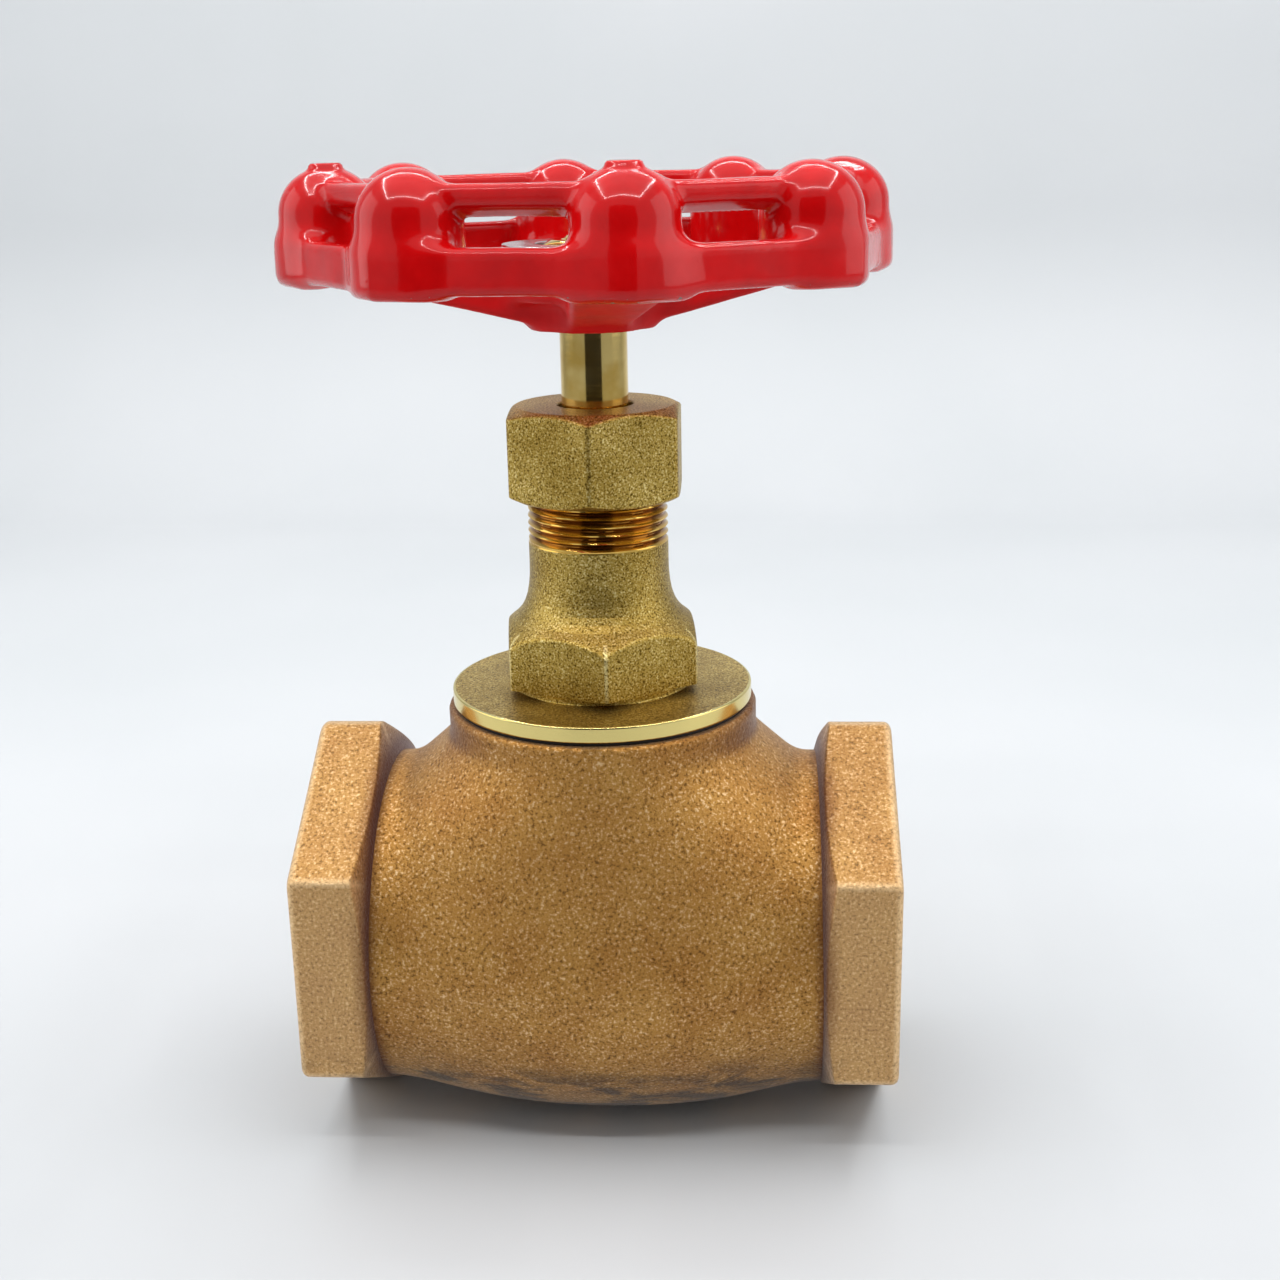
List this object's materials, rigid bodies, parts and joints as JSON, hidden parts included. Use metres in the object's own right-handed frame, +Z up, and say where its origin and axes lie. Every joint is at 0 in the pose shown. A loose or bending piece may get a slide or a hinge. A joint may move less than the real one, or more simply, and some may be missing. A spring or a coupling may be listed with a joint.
{
  "type": "globe valve",
  "caption": "Threaded bronze globe valve with hexagon ends, rising stem, packing gland and a red lobed handwheel that screws a soft disc down on its seat.",
  "frame": {"origin": "under the stem's axis, at the level of the corner lands that the body stands on", "axes": "+X along the pipe, +Z up the stem, -Y towards the marked front of the body"},
  "size_m": [0.093, 0.0916, 0.1533],
  "materials": {
    "cast_bronze": "sand-cast, matt",
    "forged_brass": "shot-blasted forging, matt",
    "polished_brass": "turned and polished",
    "red_enamel": "gloss enamel on a casting",
    "plate_metal": "bright rolled sheet",
    "packing": "braided packing, matt",
    "ptfe": "smooth",
    "gasket": "matt"
  },
  "bodies": {
    "housing": {"body": "cast_bronze", "bonnet": "forged_brass", "bonnet_gasket": "gasket", "packing_washer": "polished_brass", "packing_ring_1": "packing", "packing_ring_2": "packing", "packing_ring_3": "packing", "packing_ring_4": "packing", "gland_follower": "polished_brass", "gland_nut": "forged_brass"},
    "disc": {"disc_holder": "forged_brass", "seat_disc": "ptfe", "seat_disc_washer": "polished_brass", "seat_disc_nut": "polished_brass", "disc_lock_nut": "forged_brass"},
    "spindle": {"stem": "polished_brass", "handwheel": "red_enamel", "nameplate": "plate_metal", "wheel_nut": "polished_brass"}
  },
  "joints": [
    {"name": "disc_lift", "type": "slide", "parent": "housing", "child": "disc", "axis": [0, 0, 1], "range_m": [-0.01, 0.001]},
    {"name": "wheel_turn", "type": "hinge", "parent": "disc", "child": "spindle", "pos_m": [0, 0, 0.13033], "axis": [0, 0, 1], "range_deg": [-1200, 120]}
  ],
  "couplings": [
    {"joint": "disc_lift", "follows": "wheel_turn", "m_per_rad": 0.00047746}
  ]
}
